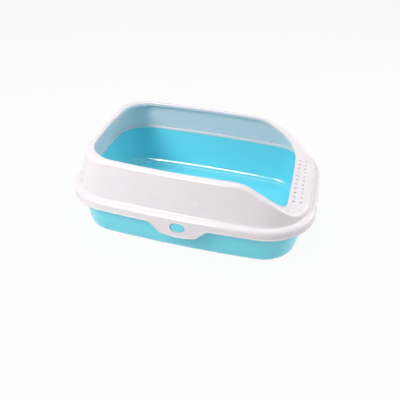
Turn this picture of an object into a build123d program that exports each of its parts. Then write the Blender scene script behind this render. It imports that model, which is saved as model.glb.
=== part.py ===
"""Semi-enclosed litter box: an open pan with a swooping splash surround pressed on over its rim.

Millimetres. +Z is up, +X runs along the length to the low entry sill, and -Y is the near long side.
The origin is on the floor, under the middle of the box. Every outline seen from above is one plan form
of eight tangent arcs, taken at some inset, so the pan, its rim and the surround always stay in step.
"""

from build123d import *

import os
from dataclasses import dataclass
from math import atan, cos, degrees, hypot, radians, sin, sqrt, tan

# Whole box, seen from above: the outer edge of the surround's flange.
LENGTH = 500.0
WIDTH = 360.0
SIDE_BOW = 13.0
END_BOW = 10.5
BACK_CORNER_RADIUS = 87.0
FRONT_CORNER_RADIUS = 112.0

# Heights above the floor.
RIM_HEIGHT = 176.0
SILL_HEIGHT = 116.0
FLANGE_HEIGHT = 102.0
SKIRT_EDGE_HEIGHT = 82.5

# Surround: walls, shoulder and flange.
SURROUND_WALL = 3.0
WALL_INSET = 12.5
WALL_DRAFT = 14.5
SHOULDER_RADIUS = 9.0
FLANGE_RADIUS = 9.0
CREASE_RADIUS = 3.0

# Surround: the mouth that the cat looks out of, with its rolled lip. The rim's two bands and the sill's
# width run from the top of the drafted wall to the mouth.
SIDE_BAND = 10.4
BACK_BAND = 9.9
SILL_WIDTH = 41.9
MOUTH_SIDE_BOW = 12.0
MOUTH_BACK_BOW = 9.3
MOUTH_FRONT_BOW = 4.0
MOUTH_BACK_RADIUS = 62.0
MOUTH_FRONT_RADIUS = 42.0
LIP_DEPTH = 7.5
LIP_WALL = 2.6
LIP_EDGE_RADIUS = 2.0

# Surround: the swoop from the high rim down to the sill, which fans out round the front corners. Its foot
# is this far in from the front end where it is as wide as the mouth.
SWOOP_FOOT_INSET = 9.4
SWOOP_SLOPE = 28.5
SWOOP_RADIUS = 82.0
SWOOP_FAN = 0.8

# Surround: the bead along the edge of the skirt and the lip that drops inside the pan.
BEAD_PROUD = 0.8
BEAD_HEIGHT = 2.4
BEAD_RADIUS = 0.6
DROP_LIP_DEPTH = 2.5
DROP_LIP_WALL = 1.8
DROP_LIP_CLEARANCE = 0.6

# Sill grille: a row of slots and a row of round holes that let litter fall back into the pan.
GRILLE_COUNT = 11
GRILLE_PITCH = 15.6
SLOT_ROW_INSET = 48.5
HOLE_ROW_INSET = 35.0
SLOT_LENGTH = 7.0
SLOT_WIDTH = 4.4
HOLE_DIAMETER = 4.4

# Snap tabs in the middle of the long sides, one each side.
TAB_X = -4.0
TAB_ROOT_HEIGHT = 92.0
TAB_PANEL_WIDTH = 130.0
TAB_TOP_WIDTH = 114.0
TAB_FOOT_WIDTH = 72.0
TAB_FOOT_HEIGHT = 60.5
TAB_CROWN = 5.0
TAB_OUTER_RADIUS = 9.0
TAB_INNER_RADIUS = 12.0
TAB_GAP = 0.2
WINDOW_WIDTH = 30.0
WINDOW_HEIGHT = 22.5
WINDOW_CENTRE_HEIGHT = 79.0
NUB_PITCH = 6.4
NUB_DIAMETER = 3.0
NUB_PROUD = 0.9

# Pan. Its front corners are a little squarer than the box's.
PAN_WALL = 3.0
PAN_FLOOR = 3.0
PAN_BASE_INSET = 29.5
PAN_MOUTH_INSET = 12.0
PAN_FRONT_CORNER_RADIUS = 102.0
PAN_BASE_RADIUS = 18.0
SEAT_GAP = 0.3
RIM_CLEARANCE = 1.0
RIM_TURNDOWN = 8.5
RIM_WALL = 2.4
STUD_CLEARANCE = 1.7
STUD_RECESS = 0.8
STUD_EDGE_RADIUS = 1.0

# Feet moulded under the corners of the pan.
FOOT_HEIGHT = 2.5
FOOT_INSET = 45.0
FOOT_WIDTH = 12.0
FOOT_REACH_X = 110.0
FOOT_REACH_Y = 120.0

# Sizes that follow from the ones above.
FLANGE_UNDERSIDE = FLANGE_HEIGHT - SURROUND_WALL
PAN_RIM_HEIGHT = FLANGE_UNDERSIDE - SEAT_GAP
RIM_INSET = SURROUND_WALL + RIM_CLEARANCE
RIM_RADIUS = FLANGE_RADIUS - SURROUND_WALL - RIM_CLEARANCE
PAN_DRAFT = degrees(atan((PAN_BASE_INSET - PAN_MOUTH_INSET) / (PAN_RIM_HEIGHT - FOOT_HEIGHT)))
DROP_LIP_HEIGHT = PAN_RIM_HEIGHT - DROP_LIP_DEPTH
DROP_LIP_INSET = PAN_MOUTH_INSET + PAN_WALL + DROP_LIP_DEPTH * tan(radians(PAN_DRAFT)) + DROP_LIP_CLEARANCE
DROP_LIP_INNER_INSET = DROP_LIP_INSET + DROP_LIP_WALL
HALF_LENGTH = LENGTH / 2
HALF_WIDTH = WIDTH / 2
RIM_WALL_INSET = WALL_INSET + (RIM_HEIGHT - FLANGE_HEIGHT) * tan(radians(WALL_DRAFT))
SILL_WALL_INSET = WALL_INSET + (SILL_HEIGHT - FLANGE_HEIGHT) * tan(radians(WALL_DRAFT))
MOUTH_BACK_X = RIM_WALL_INSET + BACK_BAND - HALF_LENGTH
MOUTH_FRONT_X = HALF_LENGTH - SILL_WALL_INSET - SILL_WIDTH
MOUTH_HALF_WIDTH = HALF_WIDTH - RIM_WALL_INSET - SIDE_BAND
OUTSIDE = 40.0
ABOVE = 30.0
TOUCH = 0.001


def bow_radius(half_span, bow):
    """Radius of an arc that bows out by this much over a span twice as long as half_span."""
    return (half_span**2 + bow**2) / (2 * bow)


@dataclass(frozen=True)
class PlanForm:
    """A bowed rectangle with round corners, seen from above: eight tangent arcs."""

    back_x: float
    front_x: float
    half_width: float
    side_bow: float
    back_bow: float
    front_bow: float
    back_radius: float
    front_radius: float

    @property
    def middle_x(self):
        """X of the middle of the form."""
        return (self.back_x + self.front_x) / 2

    @property
    def half_length(self):
        """Half of the form's length."""
        return (self.front_x - self.back_x) / 2

    def end(self, end_bow, corner_radius, inset):
        """Points of one end of the form, as if that end faced +X and the middle were at x = 0.

        Returns the tip of the end arc, where it meets the corner, a point half-way round the corner,
        and where the corner meets the long side.
        """
        side_radius = bow_radius(self.half_length, self.side_bow)
        end_radius = bow_radius(self.half_width, end_bow)
        side_centre = Vector(0, self.half_width - side_radius)
        end_centre = Vector(self.half_length - end_radius, 0)
        to_side = side_radius - corner_radius
        to_end = end_radius - corner_radius
        between = end_centre - side_centre
        along = (to_side**2 - to_end**2 + between.length**2) / (2 * between.length)
        across = sqrt(to_side**2 - along**2)
        direction = between.normalized()
        corner = side_centre + direction * along + Vector(direction.Y, -direction.X) * across
        tip = Vector(self.half_length - inset, 0)
        end_tangent = corner + (corner - end_centre).normalized() * (corner_radius - inset)
        side_tangent = corner + (corner - side_centre).normalized() * (corner_radius - inset)
        middle = (end_tangent + side_tangent) * 0.5 - corner
        corner_middle = corner + middle.normalized() * (corner_radius - inset)
        return tip, end_tangent, corner_middle, side_tangent

    def face(self, inset, height):
        """The form's face at this height, drawn in by the inset."""
        front = self.end(self.front_bow, self.front_radius, inset)
        back = self.end(self.back_bow, self.back_radius, inset)
        side_middle = Vector(0, self.half_width - inset)

        def at(point, along=1, across=1):
            return (self.middle_x + along * point.X, across * point.Y, height)

        tip, end_tangent, corner_middle, side_tangent = front
        back_tip, back_tangent, back_middle, back_side = back
        arcs = [
            ThreePointArc(at(end_tangent, 1, -1), at(tip), at(end_tangent)),
            ThreePointArc(at(end_tangent), at(corner_middle), at(side_tangent)),
            ThreePointArc(at(side_tangent), at(side_middle), at(back_side, -1)),
            ThreePointArc(at(back_side, -1), at(back_middle, -1), at(back_tangent, -1)),
            ThreePointArc(at(back_tangent, -1), at(back_tip, -1), at(back_tangent, -1, -1)),
            ThreePointArc(at(back_tangent, -1, -1), at(back_middle, -1, -1), at(back_side, -1, -1)),
            ThreePointArc(at(back_side, -1, -1), at(side_middle, 1, -1), at(side_tangent, 1, -1)),
            ThreePointArc(at(side_tangent, 1, -1), at(corner_middle, 1, -1), at(end_tangent, 1, -1)),
        ]
        return Face(Wire(arcs))

    def block(self, inset, low, high):
        """A straight-walled block of the form between two heights."""
        return extrude(self.face(inset, low), amount=high - low)

    def drafted(self, inset, low, high, draft):
        """A block whose walls lean in by the draft angle as they rise, or out if it is negative."""
        drawn_in = inset + (high - low) * tan(radians(draft))
        return loft([self.face(inset, low), self.face(drawn_in, high)], ruled=True)

    def ring(self, inset, wall, low, high):
        """A straight-walled ring of this wall, its outer face at the inset."""
        return self.block(inset, low, high) - self.block(inset + wall, low, high)


BOX_FORM = PlanForm(
    -HALF_LENGTH, HALF_LENGTH, HALF_WIDTH, SIDE_BOW, END_BOW, END_BOW, BACK_CORNER_RADIUS, FRONT_CORNER_RADIUS
)
PAN_FORM = PlanForm(
    -HALF_LENGTH,
    HALF_LENGTH,
    HALF_WIDTH,
    SIDE_BOW,
    END_BOW,
    END_BOW,
    BACK_CORNER_RADIUS,
    PAN_FRONT_CORNER_RADIUS,
)
MOUTH_FORM = PlanForm(
    MOUTH_BACK_X,
    MOUTH_FRONT_X,
    MOUTH_HALF_WIDTH,
    MOUTH_SIDE_BOW,
    MOUTH_BACK_BOW,
    MOUTH_FRONT_BOW,
    MOUTH_BACK_RADIUS,
    MOUTH_FRONT_RADIUS,
)


def edges_on(solid, form, inset, height):
    """Edges of the solid that run along the form's outline at this inset and height."""
    outline = form.face(inset, height).outer_wire()
    return [edge for edge in solid.edges() if outline.distance_to(edge.position_at(0.5)) < TOUCH]


def edges_between(solid, first, second):
    """Edges where a face that passes the first test meets a face that passes the second.

    Each test takes the upward share of the face's normal at its centre.
    """
    upward = [(face, face.normal_at(face.center()).Z) for face in solid.faces()]
    first_edges = [edge for face, share in upward if first(share) for edge in face.edges()]
    second_edges = [edge for face, share in upward if second(share) for edge in face.edges()]
    return [edge for edge in first_edges if any(edge.is_same(other) for other in second_edges)]


def looks_up(share):
    """Whether a face is a top surface rather than a wall."""
    return share > 0.6


def is_wall(share):
    """Whether a face is a wall, drafted or upright."""
    return abs(share) < 0.5


def is_upright(share):
    """Whether a face is an upright wall, with no draft."""
    return abs(share) < 0.01


def swoop_halves(lowered):
    """Everything under the surround's top surface, or under a copy of it lowered by this much.

    The side view is a high flat, an arc, a slope, an arc and a low flat. It is drawn on the box's middle
    plane and pushed out to each side on a slant, so that the swoop fans out round the front corners.
    Returns the far half and the near half.
    """
    slope = radians(SWOOP_SLOPE)
    arc_drop = SWOOP_RADIUS * (1 - cos(slope))
    arc_run = SWOOP_RADIUS * sin(slope)
    slope_run = (RIM_HEIGHT - SILL_HEIGHT - 2 * arc_drop) / tan(slope)
    half_run = SWOOP_RADIUS * sin(slope / 2)
    half_drop = SWOOP_RADIUS * (1 - cos(slope / 2))
    reach = HALF_WIDTH + OUTSIDE
    high = RIM_HEIGHT - lowered
    low = SILL_HEIGHT - lowered
    back = -HALF_LENGTH - OUTSIDE - SWOOP_FAN * reach
    front = HALF_LENGTH + OUTSIDE
    finish = HALF_LENGTH - SWOOP_FOOT_INSET - SWOOP_FAN * MOUTH_HALF_WIDTH
    slope_end = finish - arc_run
    slope_start = slope_end - slope_run
    start = slope_start - arc_run
    corners = {
        "floor_back": (back, 0, 0),
        "high_back": (back, 0, high),
        "high_end": (start, 0, high),
        "upper_arc": (start + half_run, 0, high - half_drop),
        "slope_top": (slope_start, 0, high - arc_drop),
        "slope_foot": (slope_end, 0, low + arc_drop),
        "lower_arc": (finish - half_run, 0, low + half_drop),
        "low_start": (finish, 0, low),
        "low_front": (front, 0, low),
        "floor_front": (front, 0, 0),
    }
    outline = [
        Line(corners["floor_back"], corners["high_back"]),
        Line(corners["high_back"], corners["high_end"]),
        ThreePointArc(corners["high_end"], corners["upper_arc"], corners["slope_top"]),
        Line(corners["slope_top"], corners["slope_foot"]),
        ThreePointArc(corners["slope_foot"], corners["lower_arc"], corners["low_start"]),
        Line(corners["low_start"], corners["low_front"]),
        Line(corners["low_front"], corners["floor_front"]),
        Line(corners["floor_front"], corners["floor_back"]),
    ]
    profile = Face(Wire(outline))
    far_half = extrude(profile, amount=reach * hypot(1, SWOOP_FAN), dir=(SWOOP_FAN, 1, 0))
    return far_half, mirror(far_half, about=Plane.XZ)


def under_swoop(solid, lowered=0.0):
    """The part of the solid that lies under the swoop surface."""
    far_half, near_half = swoop_halves(lowered)
    return (solid & far_half) + (solid & near_half)


def surround_form(offset):
    """The closed form of the surround above its flange, or the hollow inside walls this thick."""
    inset = WALL_INSET + offset / cos(radians(WALL_DRAFT))
    form = BOX_FORM.drafted(inset, FLANGE_HEIGHT, RIM_HEIGHT + ABOVE, WALL_DRAFT)
    form = under_swoop(form, offset)
    return fillet(edges_between(form, looks_up, is_wall), SHOULDER_RADIUS - offset)


def surround_walls():
    """The surround above its flange: thin walls, shoulder, sill and the mouth with its rolled lip."""
    walls = surround_form(0) - surround_form(SURROUND_WALL)
    walls = walls - MOUTH_FORM.block(0, FLANGE_HEIGHT, RIM_HEIGHT + ABOVE)
    lip = MOUTH_FORM.ring(-LIP_WALL, LIP_WALL, FLANGE_HEIGHT, RIM_HEIGHT + ABOVE)
    walls = walls + (under_swoop(lip) - under_swoop(lip, LIP_DEPTH))
    return fillet(edges_between(walls, looks_up, is_upright), LIP_EDGE_RADIUS)


def surround_flange():
    """The rounded flange with its skirt and bead, and the lip that drops inside the pan."""
    outer = BOX_FORM.block(0, SKIRT_EDGE_HEIGHT, FLANGE_HEIGHT)
    outer = fillet(edges_on(outer, BOX_FORM, 0, FLANGE_HEIGHT), FLANGE_RADIUS)
    hollow = BOX_FORM.block(SURROUND_WALL, SKIRT_EDGE_HEIGHT, FLANGE_UNDERSIDE)
    inner_edges = edges_on(hollow, BOX_FORM, SURROUND_WALL, FLANGE_UNDERSIDE)
    hollow = fillet(inner_edges, FLANGE_RADIUS - SURROUND_WALL)
    way_in = BOX_FORM.block(DROP_LIP_INNER_INSET, SKIRT_EDGE_HEIGHT, FLANGE_HEIGHT)
    drop_lip = BOX_FORM.ring(DROP_LIP_INSET, DROP_LIP_WALL, DROP_LIP_HEIGHT, FLANGE_HEIGHT)
    return outer - hollow - way_in + drop_lip + skirt_bead()


def skirt_bead():
    """The rounded bead that runs along the foot of the skirt."""
    top = SKIRT_EDGE_HEIGHT + BEAD_HEIGHT
    bead = BOX_FORM.ring(-BEAD_PROUD, BEAD_PROUD + SURROUND_WALL / 2, SKIRT_EDGE_HEIGHT, top)
    upper = edges_on(bead, BOX_FORM, -BEAD_PROUD, top)
    lower = edges_on(bead, BOX_FORM, -BEAD_PROUD, SKIRT_EDGE_HEIGHT)
    return fillet(upper + lower, BEAD_RADIUS)


def grille():
    """Cutters for the sill's row of slots and row of round holes."""
    cutters = []
    for index in range(GRILLE_COUNT):
        y = (index - (GRILLE_COUNT - 1) / 2) * GRILLE_PITCH
        slot = Pos(HALF_LENGTH - SLOT_ROW_INSET, y, FLANGE_HEIGHT) * SlotOverall(SLOT_LENGTH, SLOT_WIDTH)
        hole = Pos(HALF_LENGTH - HOLE_ROW_INSET, y, FLANGE_HEIGHT) * Circle(HOLE_DIAMETER / 2)
        cutters += [extrude(slot, amount=ABOVE), extrude(hole, amount=ABOVE)]
    return cutters


def front_prism(profile):
    """A profile drawn in the front view, pushed through the near skirt."""
    near = Plane((0, SURROUND_WALL * 4 - HALF_WIDTH, 0), x_dir=(1, 0, 0), z_dir=(0, -1, 0))
    return extrude(near * profile, amount=OUTSIDE)


def tab_profile(grow=0.0):
    """Front view of a tab: its panel in the skirt and the tongue that hangs from it.

    Growing it moves the top and the two ends out and leaves the lower outline where it is.
    """
    end = TAB_PANEL_WIDTH / 2 + grow
    top = TAB_ROOT_HEIGHT + grow
    shoulder = TAB_TOP_WIDTH / 2
    foot = TAB_FOOT_WIDTH / 2
    upper = [
        (TAB_X + foot, TAB_FOOT_HEIGHT),
        (TAB_X + shoulder, SKIRT_EDGE_HEIGHT),
        (TAB_X + end, SKIRT_EDGE_HEIGHT),
        (TAB_X + end, top),
        (TAB_X - end, top),
        (TAB_X - end, SKIRT_EDGE_HEIGHT),
        (TAB_X - shoulder, SKIRT_EDGE_HEIGHT),
        (TAB_X - foot, TAB_FOOT_HEIGHT),
    ]
    crown = ThreePointArc(upper[-1], (TAB_X, TAB_FOOT_HEIGHT - TAB_CROWN), upper[0])
    profile = make_face([Polyline(*upper), crown])
    feet = [v for v in profile.vertices() if abs(v.Y - TAB_FOOT_HEIGHT) < TOUCH]
    profile = fillet(feet, TAB_OUTER_RADIUS)
    shoulders = [v for v in profile.vertices() if abs(abs(v.X - TAB_X) - shoulder) < TOUCH]
    return fillet(shoulders, TAB_INNER_RADIUS)


def near_tab():
    """The snap tab of the near long side, with its bead, oval window and two grip nubs."""
    profile = tab_profile()
    lowest = TAB_FOOT_HEIGHT - TAB_CROWN
    panel = BOX_FORM.ring(0, SURROUND_WALL, lowest - ABOVE, TAB_ROOT_HEIGHT) & front_prism(profile)
    edge = profile - offset(tab_profile(BEAD_HEIGHT * 2), amount=-BEAD_HEIGHT)
    bead = BOX_FORM.ring(-BEAD_PROUD, BEAD_PROUD + SURROUND_WALL / 2, lowest - ABOVE, TAB_ROOT_HEIGHT)
    window = Pos(TAB_X, WINDOW_CENTRE_HEIGHT) * Ellipse(WINDOW_WIDTH / 2, WINDOW_HEIGHT / 2)
    tab = panel + (bead & front_prism(edge)) - front_prism(window)
    for side in (-1, 1):
        centre = (TAB_X + side * NUB_PITCH / 2, SURROUND_WALL / 2 - HALF_WIDTH, lowest + NUB_DIAMETER / 2)
        across = Plane(centre, z_dir=(0, -1, 0))
        reach = SURROUND_WALL / 2 + BEAD_PROUD + NUB_PROUD
        tab = tab + extrude(across * Circle(NUB_DIAMETER / 2), amount=reach)
    return tab


def tab_notch():
    """What the near tab's panel takes out of the skirt, with its running gap."""
    width = TAB_PANEL_WIDTH + 2 * TAB_GAP
    foot = SKIRT_EDGE_HEIGHT - BEAD_HEIGHT
    height = TAB_ROOT_HEIGHT + TAB_GAP - foot
    return front_prism(Pos(TAB_X, foot + height / 2) * Rectangle(width, height))


def splash_surround():
    """The white moulding: walls, swoop, sill, flange and skirt, notched for the two snap tabs."""
    surround = surround_walls() + surround_flange()
    surround = fillet(edges_on(surround, BOX_FORM, WALL_INSET, FLANGE_HEIGHT), CREASE_RADIUS)
    notch = tab_notch()
    surround = surround - [notch, mirror(notch, about=Plane.XZ)]
    return surround - grille()


def pan_form(wall, base, radius):
    """The pan's closed form, or its hollow inside this wall, from the base up past the rim."""
    slope = tan(radians(PAN_DRAFT))
    inset = PAN_BASE_INSET - (base - FOOT_HEIGHT) * slope + wall / cos(radians(PAN_DRAFT))
    form = PAN_FORM.drafted(inset, base, PAN_RIM_HEIGHT + ABOVE, -PAN_DRAFT)
    return fillet(edges_on(form, PAN_FORM, inset, base), radius)


def pan_rim():
    """The pan's out-turned rim, rounded over and turned down inside the skirt."""
    foot = PAN_RIM_HEIGHT - RIM_TURNDOWN
    outer = BOX_FORM.block(RIM_INSET, foot, PAN_RIM_HEIGHT)
    outer = fillet(edges_on(outer, BOX_FORM, RIM_INSET, PAN_RIM_HEIGHT), RIM_RADIUS)
    inset = RIM_INSET + RIM_WALL
    top = PAN_RIM_HEIGHT - RIM_WALL
    hollow = BOX_FORM.block(inset, foot, top)
    hollow = fillet(edges_on(hollow, BOX_FORM, inset, top), RIM_RADIUS - RIM_WALL)
    return outer - hollow


def near_stud():
    """The oval stud that fills the near tab's window."""
    face_y = STUD_RECESS - HALF_WIDTH
    front = Plane((TAB_X, face_y, WINDOW_CENTRE_HEIGHT), x_dir=(1, 0, 0), z_dir=(0, -1, 0))
    oval = Ellipse(WINDOW_WIDTH / 2 - STUD_CLEARANCE, WINDOW_HEIGHT / 2 - STUD_CLEARANCE)
    stud = extrude(front * oval, amount=-PAN_BASE_INSET)
    return fillet(stud.faces().sort_by(Axis.Y)[0].edges(), STUD_EDGE_RADIUS)


def pan_feet():
    """Four low feet that follow the corners of the pan's base."""
    ring = BOX_FORM.ring(FOOT_INSET, FOOT_WIDTH, 0, FOOT_HEIGHT + PAN_FLOOR / 2)
    centre_x = HALF_LENGTH - FOOT_REACH_X / 2
    centre_y = HALF_WIDTH - FOOT_REACH_Y / 2
    feet = []
    for along in (-1, 1):
        for across in (-1, 1):
            corner = Pos(along * centre_x, across * centre_y) * Box(FOOT_REACH_X, FOOT_REACH_Y, ABOVE)
            feet.append(ring & corner)
    return feet


def litter_pan():
    """The blue moulding: tapered pan with its rolled rim, two studs and four feet."""
    walls = pan_form(0, FOOT_HEIGHT, PAN_BASE_RADIUS)
    walls = walls - BOX_FORM.block(0, PAN_RIM_HEIGHT, PAN_RIM_HEIGHT + 2 * ABOVE)
    stud = near_stud()
    solid = walls + pan_rim() + [stud, mirror(stud, about=Plane.XZ)] + pan_feet()
    return solid - pan_form(PAN_WALL, FOOT_HEIGHT + PAN_FLOOR, PAN_BASE_RADIUS - PAN_WALL)


def main():
    """Build every piece and write one file for each."""
    os.makedirs("parts", exist_ok=True)
    tab = near_tab()
    pieces = {
        "litter_pan": litter_pan(),
        "splash_surround": splash_surround(),
        "near_snap_tab": tab,
        "far_snap_tab": mirror(tab, about=Plane.XZ),
    }
    for name, piece in pieces.items():
        piece.label = name
        export_step(piece, f"parts/{name}.step")
        box = piece.bounding_box()
        print(f"{name}: {len(piece.solids())} solid, {piece.volume / 1000:.1f} cm3, top {box.max.Z:.1f} mm")


if __name__ == "__main__":
    main()
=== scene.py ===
"""Looks of the semi-enclosed litter box: a blue pan, its white splash surround and two snap tabs.

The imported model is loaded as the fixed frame. Each moulding is then meshed finely from the same
plan form and sections as its solid, so that its gloss runs smoothly, and stands for that solid.
Lengths in the classes are millimetres in the model's frame: +Z up, +X towards the low sill, -Y
the near long side. A section is a list of insets from the plan form and heights.
"""

import logging
from dataclasses import dataclass, field
from enum import Enum
from math import atan2, cos, pi, radians, sin, sqrt, tan
from typing import Callable, Iterable, Optional, Sequence, Union

import bmesh
import bpy
import numpy as np
from mathutils import Matrix, Vector


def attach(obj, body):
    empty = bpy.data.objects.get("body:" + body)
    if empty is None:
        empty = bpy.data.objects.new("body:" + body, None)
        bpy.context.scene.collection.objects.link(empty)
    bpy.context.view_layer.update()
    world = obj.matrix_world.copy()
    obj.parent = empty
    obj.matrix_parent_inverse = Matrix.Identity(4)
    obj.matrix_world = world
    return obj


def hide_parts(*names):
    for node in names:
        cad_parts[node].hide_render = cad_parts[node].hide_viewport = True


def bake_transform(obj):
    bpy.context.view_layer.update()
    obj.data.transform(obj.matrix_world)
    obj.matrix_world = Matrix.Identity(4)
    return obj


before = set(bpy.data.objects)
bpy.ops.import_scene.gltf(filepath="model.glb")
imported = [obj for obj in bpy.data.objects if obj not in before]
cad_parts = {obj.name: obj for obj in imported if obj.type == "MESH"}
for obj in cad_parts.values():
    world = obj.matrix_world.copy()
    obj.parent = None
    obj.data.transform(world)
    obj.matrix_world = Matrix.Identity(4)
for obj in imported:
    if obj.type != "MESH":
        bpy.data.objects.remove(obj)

LOG = logging.getLogger("litter_box")
MM = 0.001
MERGE_DISTANCE = 1e-7
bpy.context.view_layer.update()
WHITE = (1.0, 1.0, 1.0, 1.0)

Number = Union[float, np.ndarray]
Section = list[tuple[Number, Number]]
Colour = tuple[float, float, float]
Owner = Union[bpy.types.Material, bpy.types.World]


class Slot(Enum):
    """Material slots of the record."""

    PAN = "pan_plastic"
    SURROUND = "surround_plastic"


class Side(Enum):
    """A long side of the box, with the sign of its y."""

    NEAR = -1
    FAR = 1


@dataclass(frozen=True)
class Stations:
    """Points round an outline, anticlockwise from the middle of the front end.

    Attributes:
        points: One row per station, x and y.
        inward: The unit normal of each station, pointing into the form.
    """

    points: np.ndarray
    inward: np.ndarray

    @property
    def count(self) -> int:
        """Number of stations."""
        return len(self.points)

    def at(self, inset: Number) -> np.ndarray:
        """The stations drawn in by an inset, which may differ from one to the next."""
        return self.points + self.inward * np.broadcast_to(inset, (self.count,))[:, None]

    def ring(self, inset: Number, height: Number) -> np.ndarray:
        """A ring of 3-D points at an inset and a height."""
        return np.column_stack([self.at(inset), np.broadcast_to(height, (self.count,))])

    def rings(self, section: Section) -> list[np.ndarray]:
        """A ring of 3-D points for each point of a section."""
        return [self.ring(inset, height) for inset, height in section]


@dataclass(frozen=True)
class PlanForm:
    """A bowed rectangle with round corners, seen from above: eight tangent arcs."""

    back_x: float
    front_x: float
    half_width: float
    side_bow: float
    back_bow: float
    front_bow: float
    back_radius: float
    front_radius: float

    @staticmethod
    def bow_radius(half_span: float, bow: float) -> float:
        """Radius of the arc that bows out by this much over twice the half span."""
        return (half_span**2 + bow**2) / (2 * bow)

    @property
    def middle_x(self) -> float:
        """X of the middle of the form."""
        return (self.back_x + self.front_x) / 2

    @property
    def half_length(self) -> float:
        """Half of the form's length."""
        return (self.front_x - self.back_x) / 2

    @property
    def side_radius(self) -> float:
        """Radius of the long side's arc."""
        return self.bow_radius(self.half_length, self.side_bow)

    def side_at(self, x: np.ndarray) -> tuple[np.ndarray, np.ndarray]:
        """The far long side over these x positions.

        Args:
            x: Positions along the box.

        Returns:
            Its y there, and its outward unit normals.
        """
        run = np.asarray(x, float) - self.middle_x
        rise = np.sqrt(self.side_radius**2 - run**2)
        outward = np.column_stack([run, rise]) / self.side_radius
        return self.half_width - self.side_radius + rise, outward

    def corner(self, end_bow: float, radius: float) -> tuple[np.ndarray, np.ndarray, float]:
        """One end of the form, as if it faced +X and the middle were at x = 0.

        Args:
            end_bow: How far the end arc bows out.
            radius: Radius of the corner.

        Returns:
            The corner's centre, the end arc's centre and the end arc's radius.
        """
        end_radius = self.bow_radius(self.half_width, end_bow)
        side_centre = np.array([0.0, self.half_width - self.side_radius])
        end_centre = np.array([self.half_length - end_radius, 0.0])
        to_side, to_end = self.side_radius - radius, end_radius - radius
        between = end_centre - side_centre
        gap = float(np.linalg.norm(between))
        along = (to_side**2 - to_end**2 + gap**2) / (2 * gap)
        across = sqrt(to_side**2 - along**2)
        run = between / gap
        centre = side_centre + run * along + np.array([run[1], -run[0]]) * across
        return centre, end_centre, end_radius

    def stations(
        self, short: int, corner: int, long: int, marks: Sequence[float] = ()
    ) -> Stations:
        """Stations round the whole form.

        Args:
            short: Steps along half of an end.
            corner: Steps round a corner.
            long: Steps along each stretch of a long side.
            marks: X positions on the long sides that get a station, from front to back.

        Returns:
            The stations.
        """
        side_centre = np.array([0.0, self.half_width - self.side_radius])
        front, front_end, front_end_radius = self.corner(self.front_bow, self.front_radius)
        back, back_end, back_end_radius = self.corner(self.back_bow, self.back_radius)

        def heading(centre: np.ndarray, origin: np.ndarray) -> float:
            """Angle from the origin to the centre."""
            return atan2(centre[1] - origin[1], centre[0] - origin[0])

        front_join, front_side = heading(front, front_end), heading(front, side_centre)
        back_join, back_side = pi - heading(back, back_end), pi - heading(back, side_centre)
        runs = [mark - self.middle_x for mark in marks]
        turns = [atan2(sqrt(self.side_radius**2 - run**2), run) for run in runs]
        stops = [front_side, *turns, back_side]
        flip = np.array([-1.0, 1.0])
        arcs = [(front_end, front_end_radius, 0.0, front_join, short)]
        arcs.append((front, self.front_radius, front_join, front_side, corner))
        for start, finish in zip(stops, stops[1:]):
            arcs.append((side_centre, self.side_radius, start, finish, long))
        arcs.append((back * flip, self.back_radius, back_side, back_join, corner))
        arcs.append((back_end * flip, back_end_radius, back_join, pi, short))
        # Every arc leaves its last station to the next, so the back's middle is an arc of its own.
        arcs.append((back_end * flip, back_end_radius, pi, pi, 1))
        angles: list[float] = []
        centres: list[np.ndarray] = []
        radii: list[float] = []
        for centre, radius, start, finish, steps in arcs:
            for step in range(steps):
                angles.append(start + (finish - start) * step / steps)
                centres.append(centre)
                radii.append(radius)
        outward = np.column_stack([np.cos(angles), np.sin(angles)])
        half = np.array(centres) + outward * np.reshape(radii, (-1, 1))
        mirror = np.array([1.0, -1.0])
        points = np.vstack([half, (half[1:-1] * mirror)[::-1]]) + [self.middle_x, 0.0]
        inward = -np.vstack([outward, (outward[1:-1] * mirror)[::-1]])
        return Stations(points, inward)


@dataclass(frozen=True)
class Swoop:
    """The surround's top surface: high at the back, an S-curve down, and low over the sill.

    Attributes:
        rim_height: Height of the level part at the back.
        sill_height: Height of the level part over the sill.
        foot_x: Where the curve meets the sill's level, at fan_from.
        slope: Steepest slope, in degrees.
        radius: Radius of both bends.
        fan: How far the curve moves forward for each millimetre further from the middle.
        fan_from: Distance from the middle at which foot_x holds.
    """

    rim_height: float = 176.0
    sill_height: float = 116.0
    foot_x: float = 240.6
    slope: float = 28.5
    radius: float = 82.0
    fan: float = 0.8
    fan_from: float = 138.0

    def height(self, points: np.ndarray) -> np.ndarray:
        """Height of the surface.

        Args:
            points: Rows of x and y.

        Returns:
            The height over each.
        """
        x = points[:, 0] - self.fan * (np.abs(points[:, 1]) - self.fan_from)
        slope = radians(self.slope)
        drop, run = self.radius * (1 - cos(slope)), self.radius * sin(slope)
        middle = (self.rim_height - self.sill_height - 2 * drop) / tan(slope)
        start = self.foot_x - 2 * run - middle

        def rise(along: np.ndarray) -> np.ndarray:
            """How high a bend stands over its centre."""
            return np.sqrt(np.clip(self.radius**2 - along**2, 0, None))

        upper = self.rim_height - self.radius + rise(x - start)
        straight = self.rim_height - drop - (x - start - run) * tan(slope)
        lower = self.sill_height + self.radius - rise(self.foot_x - x)
        bands = [x < start, x < start + run, x < start + run + middle, x < self.foot_x]
        heights = [np.full_like(x, self.rim_height), upper, straight, lower]
        return np.select(bands, heights, self.sill_height)


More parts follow.
